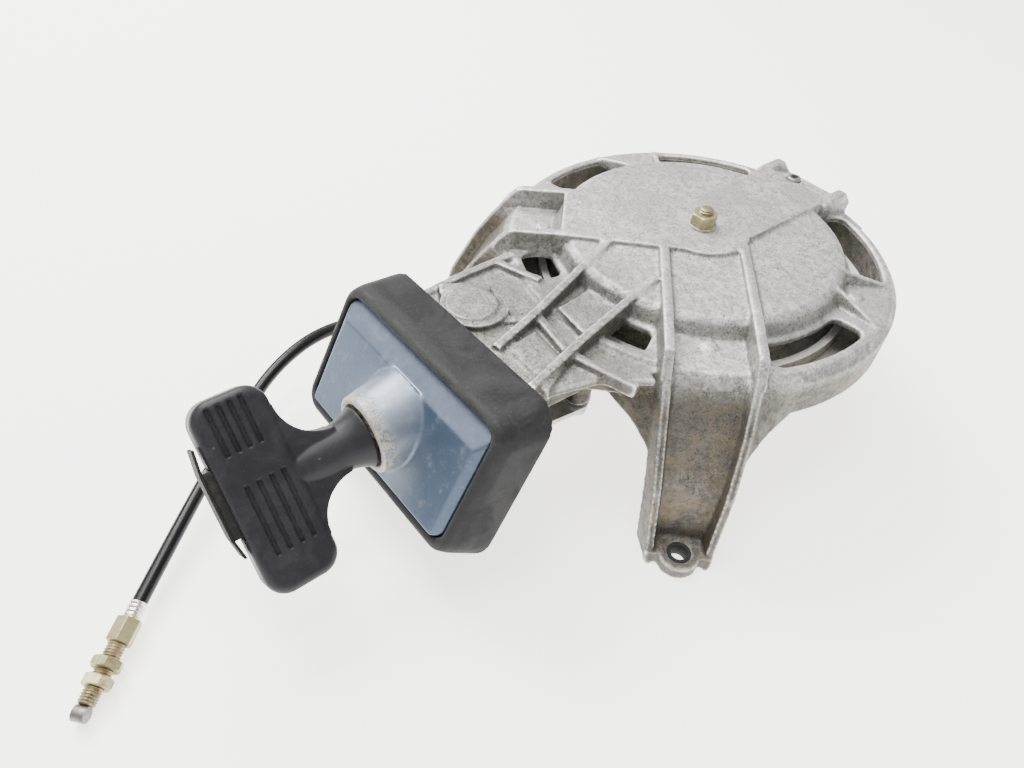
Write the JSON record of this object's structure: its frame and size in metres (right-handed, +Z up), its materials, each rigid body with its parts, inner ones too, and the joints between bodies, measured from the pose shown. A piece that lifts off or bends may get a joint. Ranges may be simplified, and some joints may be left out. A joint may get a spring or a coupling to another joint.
{
  "type": "recoil starter",
  "caption": "Hand-pull recoil starter: ribbed cast case on slanted legs, spring-return rope drum with pawls, sealed face plate, T-shaped grip and an interlock cable.",
  "frame": {"origin": "on the crank axis (the drum and shaft axis), in the plane of the three feet", "axes": "+Z up along the crank axis away from the engine; -Y towards the pull handle; +X completes the right-handed frame"},
  "size_m": [0.2402, 0.5254, 0.113],
  "materials": {
    "cast_aluminium": "sand-textured die casting, oxidised",
    "black_rubber": "matt, dusty",
    "zinc_steel": "dull zinc plate",
    "yellow_zinc": "yellow passivated zinc, worn",
    "bronze": "sintered",
    "rope_nylon": "braided",
    "blue_paint": "satin metallic, chipped at the mouth",
    "black_plastic": "moulded",
    "cable_sheath": "glossy extruded",
    "crimped_tin": "bright crimped",
    "drum_metal": "dusty casting",
    "spring_steel": "blued",
    "hardened_steel": "oiled",
    "white_nylon": "machined",
    "grip_rubber": "smooth moulded",
    "black_steel": "thin painted strip",
    "wire_steel": "oxidised"
  },
  "bodies": {
    "case": {"starter_case": "cast_aluminium", "case_neck": "cast_aluminium", "case_leg_front": "cast_aluminium", "case_leg_left": "cast_aluminium", "case_leg_rear": "cast_aluminium", "foot_collars": "black_rubber", "centre_bolt": "zinc_steel", "centre_nut": "yellow_zinc", "nut_washer": "zinc_steel", "retainer_washer": "zinc_steel", "bearing_sleeve": "bronze", "case_screw": "zinc_steel", "roller_pin": "zinc_steel", "rope_lead": "rope_nylon", "face_plate": "blue_paint", "rope_bush": "black_plastic", "plate_screws": "zinc_steel", "rubber_seal": "black_rubber", "lever_pivot": "zinc_steel", "cable_gland": "zinc_steel", "cable_outer": "cable_sheath", "cable_ferrule": "crimped_tin", "hex_coupler": "yellow_zinc", "threaded_sleeve": "yellow_zinc", "jam_nuts": "yellow_zinc"},
    "drum": {"drum": "drum_metal", "rope_winding": "rope_nylon", "recoil_spring": "spring_steel", "spring_cover": "zinc_steel", "pawl_pin_left": "zinc_steel", "pawl_pin_right": "zinc_steel", "pawl_spring_left": "spring_steel", "pawl_spring_right": "spring_steel"},
    "pawl_left": {"drive_pawl_left": "hardened_steel"},
    "pawl_right": {"drive_pawl_right": "hardened_steel"},
    "friction": {"friction_plate": "zinc_steel", "friction_spring": "spring_steel"},
    "roller": {"guide_roller": "white_nylon"},
    "rope_end": {"rope_run": "rope_nylon", "rope_knot": "rope_nylon"},
    "handle": {"handle_grip": "grip_rubber", "anchor_block": "black_plastic", "anchor_plate": "black_steel"},
    "lever": {"stop_lever": "zinc_steel"},
    "near_wire": {"inner_wire": "wire_steel"},
    "far_wire": {"wire_nipple": "wire_steel"}
  },
  "joints": [
    {"name": "handle_pull", "type": "slide", "parent": "case", "child": "rope_end", "axis": [0, -1, 0], "range_m": [0, 1.168], "deforming": ["rope_run"]},
    {"name": "handle_turn", "type": "hinge", "parent": "rope_end", "child": "handle", "pos_m": [-0.0078, -0.264, 0.0625], "axis": [0, 1, 0], "range_deg": [-100, 80]},
    {"name": "drum_spin", "type": "hinge", "parent": "case", "child": "drum", "pos_m": [0, 0, 0.07], "axis": [0, 0, 1], "range_deg": [0, 720]},
    {"name": "roller_spin", "type": "hinge", "parent": "case", "child": "roller", "pos_m": [-0.022, -0.134, 0.0625], "axis": [0, 0, 1], "range_deg": [-4720, 0]},
    {"name": "friction_turn", "type": "hinge", "parent": "drum", "child": "friction", "pos_m": [0, 0, 0.055], "axis": [0, 0, 1], "range_deg": [0, 18]},
    {"name": "pawl_left_swing", "type": "hinge", "parent": "drum", "child": "pawl_left", "pos_m": [-0.048, 0, 0.0545], "axis": [0, 0, 1], "range_deg": [-37, 0]},
    {"name": "pawl_right_swing", "type": "hinge", "parent": "drum", "child": "pawl_right", "pos_m": [0.048, 0, 0.0545], "axis": [0, 0, 1], "range_deg": [-37, 0]},
    {"name": "wire_pull", "type": "slide", "parent": "case", "child": "far_wire", "axis": [0.6601, -0.7461, -0.0872], "range_m": [0, 0.008]},
    {"name": "near_wire_slide", "type": "slide", "parent": "case", "child": "near_wire", "axis": [-1, 0, 0], "range_m": [0, 0.008]},
    {"name": "lever_swing", "type": "hinge", "parent": "case", "child": "lever", "pos_m": [0.03, -0.114, 0.0575], "axis": [0, 0, 1], "range_deg": [-11.6, 0]}
  ],
  "couplings": [
    {"joint": "drum_spin", "follows": "handle_pull", "rad_per_m": 10.753},
    {"joint": "roller_spin", "follows": "handle_pull", "rad_per_m": -70.422},
    {"joint": "pawl_left_swing", "follows": "friction_turn", "ratio": -2},
    {"joint": "pawl_right_swing", "follows": "friction_turn", "ratio": -2},
    {"joint": "near_wire_slide", "follows": "wire_pull", "ratio": 1},
    {"joint": "lever_swing", "follows": "wire_pull", "rad_per_m": -25}
  ]
}
